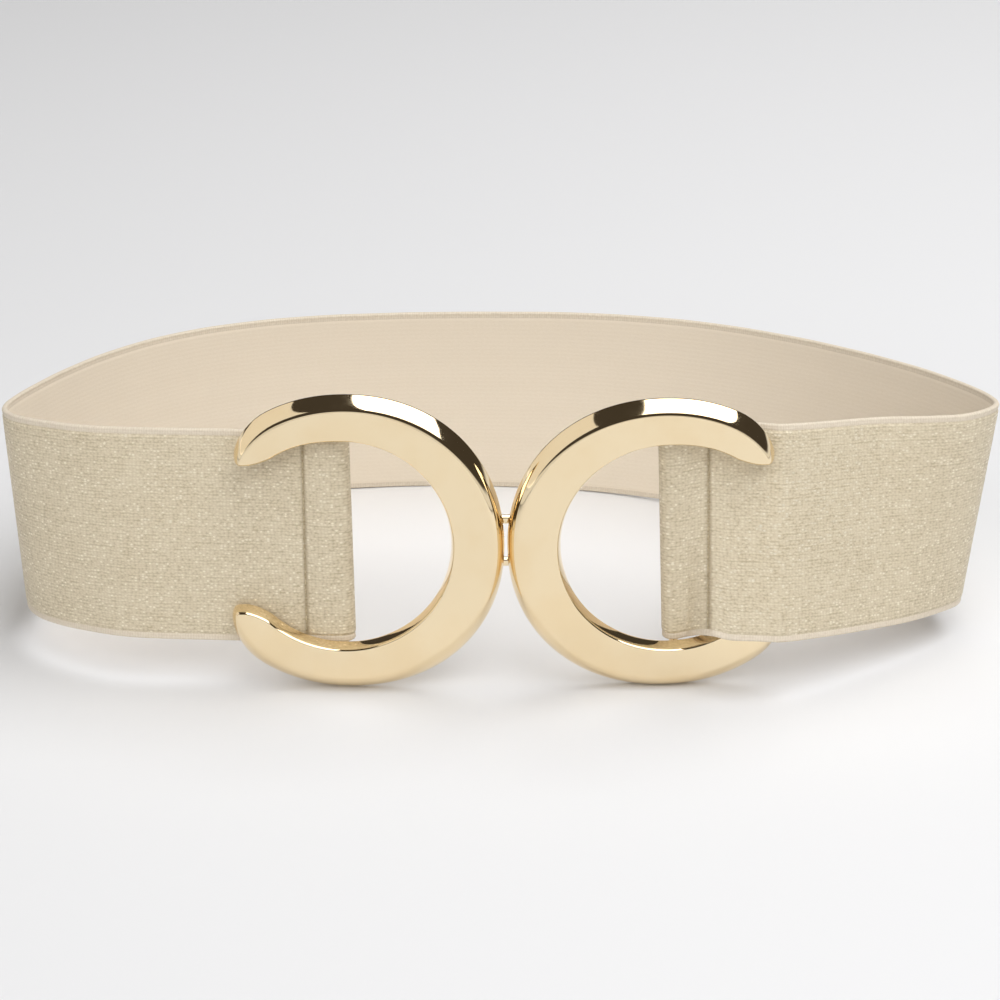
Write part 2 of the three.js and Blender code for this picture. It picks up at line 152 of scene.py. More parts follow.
def new_piece(name: str, points: Sequence[Vector], faces: Sequence[Sequence[int]]) -> bpy.types.Object:
    """Make a smooth mesh object from points in millimetres in the world frame.

    Args:
        name: The piece's name.
        points: Its vertices.
        faces: The vertices of each face.

    Returns:
        The new object, linked into the scene.
    """
    mesh = bpy.data.meshes.new(name)
    mesh.from_pydata([tuple(c * METRE for c in point) for point in points], [], faces)
    mesh.shade_smooth()
    mesh.update()
    piece = bpy.data.objects.new(name, mesh)
    bpy.context.scene.collection.objects.link(piece)
    return piece


class Socket:
    """A shader value that is used in plain Python sums."""

    def __init__(self, nodes: "Nodes", output: bpy.types.NodeSocket) -> None:
        """Wrap one output of a node."""
        self.nodes = nodes
        self.output = output

    def _sum(self, operation: str, first: object, second: object) -> "Socket":
        """Add a Math node for one operation on two values."""
        return self.nodes.add("ShaderNodeMath", {"operation": operation}, {0: first, 1: second})

    def __add__(self, other: object) -> "Socket":
        """Add a value."""
        return self._sum("ADD", self, other)

    def __rsub__(self, other: object) -> "Socket":
        """Take this value away from another."""
        return self._sum("SUBTRACT", other, self)

    def __mul__(self, other: object) -> "Socket":
        """Multiply by a value."""
        return self._sum("MULTIPLY", self, other)

    def __truediv__(self, other: object) -> "Socket":
        """Divide by a value."""
        return self._sum("DIVIDE", self, other)

    def wave(self) -> "Socket":
        """Swing from 0 to 1 and back, once in each whole turn of an angle in radians."""
        return self.nodes.add("ShaderNodeMath", {"operation": "SINE"}, {0: self}) * 0.5 + 0.5

    def ramp(self, low: float, high: float) -> "Socket":
        """Rise smoothly from 0 at the low value to 1 at the high one."""
        return self.nodes.add(
            "ShaderNodeMapRange",
            {"interpolation_type": "SMOOTHSTEP"},
            {"Value": self, "From Min": low, "From Max": high},
        )


class Nodes:
    """A material's node tree, with one method that adds any node."""

    def __init__(self, name: str) -> None:
        """Start a material that holds only its shader and output."""
        self.material = bpy.data.materials.new(name)
        self.material.use_nodes = True
        self.tree = self.material.node_tree
        self.shader = self.tree.nodes["Principled BSDF"]

    def add(
        self,
        kind: str,
        settings: dict[str, object] | None = None,
        inputs: dict[str | int, object] | None = None,
        output: str | int = 0,
    ) -> Socket:
        """Add a node, with its settings first and then its values and links.

        Args:
            kind: The node's type.
            settings: Its own settings, by name.
            inputs: What its sockets get, by name or number.
            output: The output that is wanted.

        Returns:
            That output, ready for sums.
        """
        node = self.tree.nodes.new(kind)
        for name, value in (settings or {}).items():
            setattr(node, name, value)
        for name, value in (inputs or {}).items():
            self.feed(node.inputs[name], value)
        return Socket(self, node.outputs[output])

    def feed(self, socket: bpy.types.NodeSocket, value: object) -> None:
        """Give a socket a link or a plain value."""
        if isinstance(value, Socket):
            self.tree.links.new(value.output, socket)
        elif isinstance(value, tuple) and len(value) == 3 and socket.type == "RGBA":
            socket.default_value = (*value, 1.0)
        else:
            socket.default_value = value

    def dress(self, **inputs: object) -> None:
        """Feed the main shader's sockets, whose names are written with underscores."""
        for name, value in inputs.items():
            self.feed(self.shader.inputs[name.replace("_", " ")], value)

    def blend(self, share: Socket, start: object, end: object) -> Socket:
        """Mix two colours by a share."""
        settings = {"data_type": "RGBA", "clamp_factor": True}
        inputs = {0: share, 6: start, 7: end}
        return self.add("ShaderNodeMix", settings, inputs, 2)

    def lay(self) -> Socket:
        """Read where a point of the strap lies: along, across and how deep in the sewn crease, which sets
        the crease's painted shade.
        """
        return self.add("ShaderNodeAttribute", {"attribute_name": LAY}, {}, "Vector")

    def part(self, vector: Socket, axis: str) -> Socket:
        """Take one part of a vector."""
        return self.add("ShaderNodeSeparateXYZ", {}, {0: vector}, axis)

    def scaled(self, vector: Socket, scale: tuple[float, float, float]) -> Socket:
        """Multiply a vector part by part."""
        return self.add("ShaderNodeVectorMath", {"operation": "MULTIPLY"}, {0: vector, 1: scale})

    def noise(self, vector: Socket, scale: float, detail: float = 2.0, rough: float = 0.5) -> Socket:
        """Add a noise that runs from 0 to 1."""
        inputs = {"Vector": vector, "Scale": scale, "Detail": detail, "Roughness": rough}
        return self.add("ShaderNodeTexNoise", {}, inputs)

    def bump(self, height: Socket, strength: float, distance: float) -> Socket:
        """Turn a height into a normal."""
        inputs = {"Height": height, "Strength": strength, "Distance": distance}
        return self.add("ShaderNodeBump", {}, inputs)


@dataclass(frozen=True)
class GoldPlating:
    """Polished pale gold plating, with the faint unevenness of hand polishing."""

    name: str = "pale_gold_plating"
    colour: Colour = (0.925, 0.77, 0.52)
    deeper: Colour = (0.905, 0.735, 0.475)
    patch: float = 12.0
    smooth: float = 0.045
    dull: float = 0.10
    haze: float = 3.0
    wave: float = 9.0
    wave_height: float = 0.02

    def material(self) -> bpy.types.Material:
        """Build the material."""
        nodes = Nodes(self.name)
        place = nodes.add("ShaderNodeTexCoord", {}, {}, "Object")
        patches = nodes.noise(place, 1 / (self.patch * METRE), 3.0)
        haze = nodes.noise(place, 1 / (self.haze * METRE), 4.0, 0.65)
        wave = nodes.noise(place, 1 / (self.wave * METRE), 1.0)
        nodes.dress(
            Base_Color=nodes.blend(patches.ramp(0.35, 0.7), self.colour, self.deeper),
            Metallic=1.0,
            Roughness=haze.ramp(0.3, 0.8) * (self.dull - self.smooth) + self.smooth,
            Normal=nodes.bump(wave, 0.25, self.wave_height * METRE),
        )
        return nodes.material


@dataclass(frozen=True)
class GlitterKnit:
    """The strap's outside: fine knitted rows with a metallic thread that glints, and painted shade deep in
    the sewn crease.
    """

    name: str = "glitter_knit"
    shade: Colour = (0.50, 0.415, 0.275)
    body: Colour = (0.68, 0.59, 0.43)
    light: Colour = (0.80, 0.72, 0.555)
    glint: Colour = (0.94, 0.87, 0.71)
    # Painted shade: the dark brown that the outside turns deep in the sewn crease.
    painted_crease_shade: Colour = (0.30, 0.23, 0.13)
    loop_length: float = 0.95
    loop_height: float = 0.62
    row_pitch: float = 0.93
    evenness: float = 0.7
    clump: float = 2.6
    patch: float = 16.0
    relief: float = 0.13

    def material(self) -> bpy.types.Material:
        """Build the material."""
        nodes = Nodes(self.name)
        lay = nodes.lay()
        across = nodes.part(lay, "Y")
        # How deep in the sewn crease a point lies, which sets how much painted shade it gets.
        painted_crease_shade = nodes.part(lay, "Z")
        flat = nodes.scaled(lay, (1.0, 1.0, 0.0))
        loops = nodes.scaled(flat, (1 / self.loop_length, 1 / self.loop_height, 0.0))
        grid = {"Vector": loops, "Scale": 1.0, "Randomness": self.evenness}
        cells = {"feature": "F1", "voronoi_dimensions": "2D"}
        gap = nodes.add("ShaderNodeTexVoronoi", cells, grid, "Distance")
        tint = nodes.add("ShaderNodeTexVoronoi", cells, grid, "Color")
        chance = nodes.add("ShaderNodeSeparateColor", {}, {0: tint}, "Red")
        bead = 1 - gap.ramp(0.12, 0.66)
        sway = nodes.noise(flat, 0.2, 2.0) * 0.5
        rows = ((across / self.row_pitch + sway) * math.tau).wave()
        clumps = nodes.noise(flat, 1 / self.clump, 3.0, 0.6).ramp(0.3, 0.7)
        patches = nodes.noise(flat, 1 / self.patch, 2.0).ramp(0.3, 0.7)
        tone = bead * 0.34 + chance * 0.24 + rows * 0.2 + clumps * 0.14 + patches * 0.08
        glints = chance.ramp(0.86, 0.97) * bead.ramp(0.3, 0.8)
        base = nodes.blend(tone.ramp(0.08, 0.5), self.shade, self.body)
        base = nodes.blend(tone.ramp(0.5, 0.95), base, self.light)
        base = nodes.blend(glints * 0.7, base, self.glint)
        # Painted shade: darken the outside towards dark brown deep in the crease at the stitches.
        base = nodes.blend(painted_crease_shade * 0.7, base, self.painted_crease_shade)
        nodes.dress(
            Base_Color=base,
            Metallic=glints * 0.5 + 0.08,
            Roughness=0.6 - glints * 0.3,
            Normal=nodes.bump(bead * 0.7 + rows * 0.5 + chance * 0.3, 0.55, self.relief * METRE),
            Sheen_Weight=0.12,
            Sheen_Roughness=0.4,
        )
        return nodes.material


@dataclass(frozen=True)
class PlainKnit:
    """The strap's inside: plain beige elastic with fine ribs along it."""

    name: str = "plain_knit"
    shade: Colour = (0.82, 0.72, 0.58)
    body: Colour = (0.87, 0.775, 0.64)
    rib_pitch: float = 1.3
    band_pitch: float = 9.0
    stitch_length: float = 0.9
    relief: float = 0.05

    def material(self) -> bpy.types.Material:
        """Build the material."""
        nodes = Nodes(self.name)
        lay = nodes.lay()
        across = nodes.part(lay, "Y")
        ribs = (across * (math.tau / self.rib_pitch)).wave()
        bands = (across * (math.tau / self.band_pitch)).wave()
        stretched = nodes.scaled(lay, (1 / self.stitch_length, 2 / self.stitch_length, 0.0))
        grain = nodes.noise(stretched, 1.0, 2.0, 0.55)
        tone = ribs * 0.12 + bands * 0.06 + grain * 0.85
        nodes.dress(
            Base_Color=nodes.blend(tone.ramp(0.1, 0.95), self.shade, self.body),
            Roughness=0.85,
            Normal=nodes.bump(ribs * 0.5 + grain, 0.4, self.relief * METRE),
            Sheen_Weight=0.1,
            Sheen_Roughness=0.5,
        )
        return nodes.material


@dataclass(frozen=True)
class SelvedgeWeave:
    """The strap's woven edges: smooth cream, with faint ribs across the edge."""

    name: str = "selvedge_weave"
    shade: Colour = (0.66, 0.565, 0.44)
    body: Colour = (0.80, 0.715, 0.585)
    rib_pitch: float = 0.7
    relief: float = 0.04

    def material(self) -> bpy.types.Material:
        """Build the material."""
        nodes = Nodes(self.name)
        lay = nodes.lay()
        along = nodes.part(lay, "X")
        sway = nodes.noise(lay, 0.5, 1.0) * 0.5
        ribs = ((along / self.rib_pitch + sway) * math.tau).wave()
        grain = nodes.noise(lay, 1.3, 3.0, 0.6)
        nodes.dress(
            Base_Color=nodes.blend((ribs * 0.16 + grain * 0.9).ramp(0.15, 0.9), self.shade, self.body),
            Roughness=0.75,
            Normal=nodes.bump(ribs * 0.4 + grain, 0.4, self.relief * METRE),
            Sheen_Weight=0.1,
        )
        return nodes.material


@dataclass(frozen=True)
class SewingThread:
    """Twisted polyester thread."""

    name: str = "sewing_thread"
    shade: Colour = (0.36, 0.29, 0.18)
    body: Colour = (0.60, 0.51, 0.34)
    twist: float = 0.5

    def material(self) -> bpy.types.Material:
        """Build the material."""
        nodes = Nodes(self.name)
        place = nodes.add("ShaderNodeTexCoord", {}, {}, "Object")
        ply = nodes.noise(place, 1 / (self.twist * METRE), 2.0)
        nodes.dress(
            Base_Color=nodes.blend(ply.ramp(0.3, 0.7), self.shade, self.body),
            Roughness=0.55,
            Normal=nodes.bump(ply, 0.4, 0.05 * METRE),
        )
        return nodes.material


@dataclass(frozen=True)
class StudioFloor:
    """The pale floor's matt paint."""

    name: str = "studio_floor"
    colour: Colour = (0.82, 0.825, 0.84)

    def material(self) -> bpy.types.Material:
        """Build the material."""
        nodes = Nodes(self.name)
        nodes.dress(Base_Color=self.colour, Roughness=0.9, Specular_IOR_Level=0.1)
        return nodes.material


@dataclass(frozen=True)
class Stance:
    """How the loop frame lies in the world: pitched about X, then moved."""

    pitch: float = 4.9942
    place: tuple[float, float, float] = (-0.988, -28.905, 37.155)

    def matrix(self) -> Matrix:
        """Work out the matrix from the loop frame to the world, in millimetres."""
        return Matrix.Translation(self.place) @ Matrix.Rotation(math.radians(-self.pitch), 4, "X")


@dataclass(frozen=True)
class Clasp:
    """Where the clasp lies in the loop frame, and the gap between the rings there."""

    across: float = 2.1
    depth: float = -38.6
    gap: float = 1.0
    lift: float = -0.25

    def matrix(self) -> Matrix:
        """Work out the matrix from the clasp frame to the loop frame."""
        return Matrix.Translation((self.across, self.depth, 0.0))


@dataclass(frozen=True)
class Pose:
    """How a ring lies: yaw turns its far side back, turn raises it, tilt brings its top forward."""

    side: Side
    yaw: float
    turn: float
    tilt: float
    lift: float
    clasp: Clasp = Clasp()

    def matrix(self, turned: float, to_centre: float) -> Matrix:
        """Work out the matrix from the ring's own frame to the loop frame.

        Args:
            turned: The share of the ring's turn and tilt that is wanted.
            to_centre: How far the ring's centre is from the clasp.

        Returns:
            The matrix, in millimetres.
        """
        yaw = math.radians(self.yaw)
        side = self.side.value
        away = Vector((side * math.cos(yaw), math.sin(yaw), 0.0))
        back = Vector((-side * math.sin(yaw), math.cos(yaw), 0.0))
        upright = Vector((0.0, 0.0, 1.0))
        turn = Matrix.Rotation(math.radians(self.turn * turned), 3, away.cross(upright))
        tilt = Matrix.Rotation(math.radians(self.tilt * turned), 3, back.cross(upright))
        centre = Vector((self.clasp.across, self.clasp.depth, self.lift)) + away * to_centre
        basis = Matrix([tilt @ turn @ axis for axis in (away, back, upright)]).transposed().to_4x4()
        return Matrix.Translation(centre) @ basis


@dataclass(frozen=True)
class Oval:
    """An upright oval about a point on the ring's middle line."""

    centre: float
    half_width: float
    half_height: float
    roundness: float
    upper_roundness: float

    def at(self, angle: float) -> Vector:
        """Find the point at an angle from the side of the hole's centre that points away."""
        across, up = math.cos(angle), math.sin(angle)
        power = self.upper_roundness if across > 0 and up > 0 else self.roundness
        x = self.centre + self.half_width * signed_power(across, power)
        return Vector((x, self.half_height * signed_power(up, power)))

    def angle_at(self, height: float) -> float:
        """Find the angle, on the mouth's side, at which the oval reaches a height."""
        power = self.upper_roundness if height > 0 else self.roundness
        return math.asin(signed_power(height / self.half_height, 1 / power))


@dataclass
class OpenRing:
    """One casting: an open oval ring and the bar on two lugs behind it."""

    pose: Pose
    name: str
    half_width: float = 38.0
    half_height: float = 36.1
    offset: float = 1.2
    fullness: float = 2.12
    hole_half_width: float = 29.1
    hole_half_height: float = 28.8
    hole_upper_fullness: float = 2.32
    thickness: float = 5.5
    widest_depth: float = 3.9
    side_flare: float = 2.5
    top_flare: float = 3.8
    hole_flare: float = 1.2
    mouth_flare: float = 1.4
    mouth_top: float = 22.5
    mouth_bottom: float = 18.5
    tip_rounding: float = 19.0
    tip_flared_rounding: float = 3.5
    tip_inner_rounding: float = 4.0
    tip_rounded_share: float = 0.80
    tip_fullness: float = 0.50
    tip_flared_fullness: float = -0.04
    face_rim: float = 0.15
    flank: tuple[tuple[float, float], ...] = (
        (0.0, 0.0), (0.10, 0.05), (0.22, 0.19), (0.34, 0.41), (0.48, 0.80), (0.62, 1.35), (0.76, 2.05),
        (0.89, 2.93), (1.0, 3.9)
    )
    back_rounding: float = 1.2
    outer_steps: int = 200
    inner_steps: int = 140
    tip_steps: int = 14
    flank_steps: int = 4
    back_steps: int = 7
    bar_radius: float = 1.25
    bar_sides: int = 40
    bar_u: float = 1.3
    bar_depth: float = 9.2
    lug_inside: float = 31.6
    lug_height: float = 2.8
    lug_width: float = 3.4
    lug_past_bar: float = 0.45
    join: float = 0.6
    softened: float = 0.35

    @property
    def to_centre(self) -> float:
        """Work out how far the ring's centre is from the clasp."""
        return self.pose.clasp.gap / 2 + self.side_flare + self.half_width + self.offset

    def matrix(self) -> Matrix:
        """Work out the matrix from the ring's own frame to the loop frame."""
        return self.pose.matrix(1.0, self.to_centre)

    def outline(self, flared: float, inset: float) -> list[Vector]:
        """Draw one outline of the ring.

        It runs along the outer oval past the clasp side, round the lower tip, back along the hole
        and round the upper tip.

        Args:
            flared: The share of the flare from the face's outline to the widest one.
            inset: How far the outline is drawn in.

        Returns:
            The outline's points, across and up.
        """
        fullness = mix(2.0, self.fullness, flared)
        outer = Oval(
            -self.offset,
            self.half_width + flared * self.side_flare - inset,
            self.half_height + flared * self.top_flare - inset,
            2 / fullness,
            2 / fullness,
        )
        grown = inset - flared * self.hole_flare
        hole = Oval(
            0.0,
            self.hole_half_width + grown,
            self.hole_half_height + grown,
            1.0,
            2 / self.hole_upper_fullness,
        )
        upper = self.mouth_top - flared * self.mouth_flare + inset
        lower = -self.mouth_bottom + flared * self.mouth_flare - inset
        rounding = self.tip_rounding + flared * self.tip_flared_rounding
        outer_arc = self._arc(outer, rounding, self.outer_steps, lower, upper)
        hole_arc = self._arc(hole, self.tip_inner_rounding, self.inner_steps, lower, upper)
        full = self.tip_fullness + flared * self.tip_flared_fullness
        lower_tip = self._tip(outer, hole, outer_arc[-2:], hole_arc[-2:], lower, full)
        upper_tip = self._tip(outer, hole, outer_arc[1::-1], hole_arc[1::-1], upper, full)
        return outer_arc + lower_tip + hole_arc[::-1] + upper_tip[::-1]

    def _arc(self, oval: Oval, rounding: float, steps: int, lower: float, upper: float) -> list[Vector]:
        """Draw an oval between the cuts, stopping short of them for the tips' roundings."""
        start = oval.angle_at(upper) + rounding / oval.half_width
        finish = math.tau + oval.angle_at(lower) - rounding / oval.half_width
        return [oval.at(mix(start, finish, step / steps)) for step in range(steps + 1)]

    def _corner(self, ending: list[Vector], sharp: Vector, on_cut: Vector, full: float) -> list[Vector]:
        """Round a corner from the end of an arc, which it leaves smoothly, to a point on a cut."""
        before, end = ending
        leaving = end + (end - before).normalized() * (full * (sharp - end).length)
        arriving = on_cut.lerp(sharp, full)
        points = []
        for step in range(1, self.tip_steps + 1):
            share = step / self.tip_steps
            rest = 1 - share
            outer_part = end * rest**3 + leaving * (3 * rest**2 * share)
            points.append(outer_part + arriving * (3 * rest * share**2) + on_cut * share**3)
        return points

    def _tip(
        self,
        outer: Oval,
        hole: Oval,
        outer_end: list[Vector],
        hole_end: list[Vector],
        cut: float,
        full: float,
    ) -> list[Vector]:
        """Round both corners of a tip, from the outer arc's end to the hole's."""
        outer_sharp = outer.at(outer.angle_at(cut))
        hole_sharp = hole.at(hole.angle_at(cut))
        hole_on_cut = Vector((hole_sharp.x + self.tip_inner_rounding, cut))
        outer_on_cut = outer_sharp.lerp(hole_on_cut, self.tip_rounded_share)
        outer_corner = self._corner(outer_end, outer_sharp, outer_on_cut, full)
        return outer_corner + self._corner(hole_end, hole_sharp, hole_on_cut, full)[::-1]

    def layers(self) -> list[tuple[float, float, float]]:
        """List the outlines from the face to the back, each as depth, flared and inset."""
        layers = [(0.0, 0.0, self.face_rim)]
        corners = np.array(self.flank)
        for segment in range(len(corners) - 1):
            for step in range(self.flank_steps):
                flared, depth = curve_point(corners, segment, step / self.flank_steps)
                layers.append((float(depth), float(flared), 0.0))
        layers.append((self.widest_depth, 1.0, 0.0))
        deep = self.thickness - self.widest_depth
        for step in range(1, self.back_steps + 1):
            angle = math.pi / 2 * step / self.back_steps
            depth = self.widest_depth + deep * math.sin(angle)
            layers.append((depth, 1.0, self.back_rounding * (1 - math.cos(angle))))
        layers.append((self.thickness, 1.0, self.back_rounding + self.face_rim))
        return layers

    def band(self, to_world: Matrix) -> bpy.types.Object:
        """Loft the ring's outlines into one solid with a flat face and back.

        Args:
            to_world: The matrix from the loop frame to the world.

        Returns:
            The ring's own mesh object.
        """
        layers = self.layers()
        place = to_world @ self.matrix()
        outlines = [self.outline(flared, inset) for _, flared, inset in layers]
        count = len(outlines[0])
        points = [
            place @ Vector((point.x, depth, point.y))
            for (depth, _, _), outline in zip(layers, outlines)
            for point in outline
        ]
        faces = [list(range(count))]
        for layer in range(len(layers) - 1):
            for index in range(count):
                near = layer * count + index
                next_one = layer * count + (index + 1) % count
                faces.append([near, near + count, next_one + count, next_one])
        back = (len(layers) - 1) * count
        faces.append([back + index for index in reversed(range(count))])
        if place.determinant() < 0:
            faces = [face[::-1] for face in faces]
        return new_piece(f"{self.name}_band", points, faces)

    def bar_and_lugs(self, to_world: Matrix) -> bpy.types.Object:
        """Make the bar that the strap is folded round, and the lugs that carry it."""
        place = to_world @ self.matrix()
        maker = Castings(f"{self.name}_bar", place, self.softened)
        reach = self.lug_inside + self.lug_height / 2
        maker.rod(Vector((self.bar_u, self.bar_depth, 0)), self.bar_radius, reach, self.bar_sides)
        back = self.bar_depth + self.bar_radius + self.lug_past_bar
        half = self.lug_width / 2
        for way in (-1, 1):
            ends = sorted((way * self.lug_inside, way * (self.lug_inside + self.lug_height)))
            low = Vector((self.bar_u - half, self.thickness - self.join, ends[0]))
            maker.block(low, Vector((self.bar_u + half, back, ends[1])))
        return maker.piece()


class Castings:
    """Gathers rounded bars and blocks into one mesh."""

    def __init__(self, name: str, place: Matrix, softened: float) -> None:
        """Start an empty piece.

        Args:
            name: The piece's name.
            place: The matrix from the piece's frame to the world.
            softened: The radius of the blocks' edges.
        """
        self.name = name
        self.place = place
        self.softened = softened
        self.shape = bmesh.new()

    def block(self, low: Vector, high: Vector) -> None:
        """Add a block between two corners, with rounded edges."""
        made = bmesh.ops.create_cube(self.shape, size=1.0)
        size = high - low
        middle = (high + low) / 2
        fit = Matrix.Translation(middle) @ Matrix.Diagonal((*size, 1.0))
        bmesh.ops.transform(self.shape, matrix=fit, verts=made["verts"])
        edges = list({edge for vert in made["verts"] for edge in vert.link_edges})
        rounding = min(self.softened, 0.45 * min(size))
        bmesh.ops.bevel(
            self.shape,
            geom=edges,
            offset=rounding,
            segments=3,
            profile=0.5,
            affect="EDGES",
            clamp_overlap=True,
        )

    def rod(self, centre: Vector, radius: float, reach: float, sides: int) -> None:
        """Add an upright rod about a centre."""
        fit = Matrix.Translation(centre)
        bmesh.ops.create_cone(
            self.shape,
            cap_ends=True,
            segments=sides,
            radius1=radius,
            radius2=radius,
            depth=2 * reach,
            matrix=fit,
        )

    def piece(self) -> bpy.types.Object:
        """Turn what was gathered into one object in the world frame."""
        bmesh.ops.transform(self.shape, matrix=Matrix.Scale(METRE, 4) @ self.place, verts=self.shape.verts)
        bmesh.ops.recalc_face_normals(self.shape, faces=self.shape.faces)
        mesh = bpy.data.meshes.new(self.name)
        self.shape.to_mesh(mesh)
        self.shape.free()
        mesh.shade_smooth()
        mesh.set_sharp_from_angle(angle=math.radians(SHARP_ANGLE))
        piece = bpy.data.objects.new(self.name, mesh)
        bpy.context.scene.collection.objects.link(piece)
        return piece


@dataclass
class Fastening:
    """The two halves of the clasp: a catch frame on the left ring and a hook on the right one."""

    clasp: Clasp = Clasp()
    ring_thickness: float = 5.5
    clearance: float = 0.35
    catch_depth: float = 7.3
    catch_thickness: float = 1.8
    opening: float = 9.2
    arm: float = 2.4
    reach: float = 6.3
    bar: float = 2.4
    foot: float = 4.5
    foot_start: float = 2.0
    stem: float = 2.0
    hook_height: float = 8.0
    lip_thickness: float = 1.6
    lip_reach: float = 3.4
    join: float = 0.6
    softened: float = 0.8

    def _maker(self, name: str, to_world: Matrix) -> Castings:
        """Start a piece in the clasp frame."""
        lifted = Matrix.Translation((0, 0, self.clasp.lift))
        return Castings(name, to_world @ self.clasp.matrix() @ lifted, self.softened)

    def catch_frame(self, to_world: Matrix) -> bpy.types.Object:
        """Make the frame that the hook goes through."""
        maker = self._maker("catch_frame", to_world)
        front = self.catch_depth
        back = front + self.catch_thickness
        half = self.opening / 2
        top = half + self.arm
        foot_end = -self.foot_start - self.foot
        maker.block(Vector((foot_end, front, half)), Vector((self.reach, back, top)))
        maker.block(Vector((foot_end, front, -top)), Vector((self.reach, back, -half)))
        maker.block(Vector((self.reach - self.bar, front, -top)), Vector((self.reach, back, top)))
        foot_front = self.ring_thickness - self.join
        maker.block(Vector((foot_end, foot_front, -top)), Vector((-self.foot_start, back, top)))
        return maker.piece()

    def hook(self, to_world: Matrix) -> bpy.types.Object:
        """Make the hook, whose lip reaches behind the frame's far bar."""
        maker = self._maker("hook", to_world)
        stem_end = self.reach - self.bar - self.clearance
        stem_start = stem_end - self.stem
        lip = self.catch_depth + self.catch_thickness + self.clearance
        lip_end = lip + self.lip_thickness
        half = self.hook_height / 2
        front = self.ring_thickness - self.join
        maker.block(Vector((stem_start, front, -half)), Vector((stem_end, lip_end, half)))
        maker.block(Vector((stem_start, lip, -half)), Vector((stem_end + self.lip_reach, lip_end, half)))
        return maker.piece()


@dataclass
class Rung:
    """The strap's upper and lower edge at one place, with its distance from the ring's centre."""

    upper: np.ndarray
    lower: np.ndarray
    stretch: Stretch
    u: float


@dataclass
class Slice:
    """One finished cross-section's frame: its edges, its way out and where it lies."""

    upper: np.ndarray
    lower: np.ndarray
    out: np.ndarray
    stretch: Stretch
    u: float
    along: float
    side: Side


LEFT_END = table(
    "u upper lower lift squeeze",
    (0.20, 0.00, 0.00, 0.000, 0.000),
    (0.75, -0.30, 0.00, 0.003, -0.004),
    (1.05, -0.36, 0.00, 0.005, -0.006),
)
RIGHT_END = table(
    "u upper lower lift squeeze",
    (0.11, 0.00, 0.00, 0.044, -0.042),
    (0.17, -0.03, 0.00, 0.046, -0.028),
    (0.24, -0.08, 0.10, 0.048, 0.002),
    (0.30, -0.15, 0.58, 0.050, 0.014),
    (0.37, -0.21, 1.08, 0.052, 0.044),
    (0.46, -0.24, 1.14, 0.052, 0.024),
    (0.70, -0.24, 1.14, 0.051, 0.016),
    (1.05, -0.20, 1.12, 0.042, 0.016),
)
LOOP_ROWS = table(
    "share lean lift",
    (0.00, -3.5, 0.006),
    (0.05, 0.0, 0.004),
    (0.16, 4.0, 0.000),
    (0.34, 0.0, -0.004),
    (0.50, -7.5, 0.000),
    (0.66, 0.0, -0.006),
    (0.86, 8.0, 0.000),
    (0.94, 5.0, -0.004),
    (1.00, -5.5, 0.006),
)


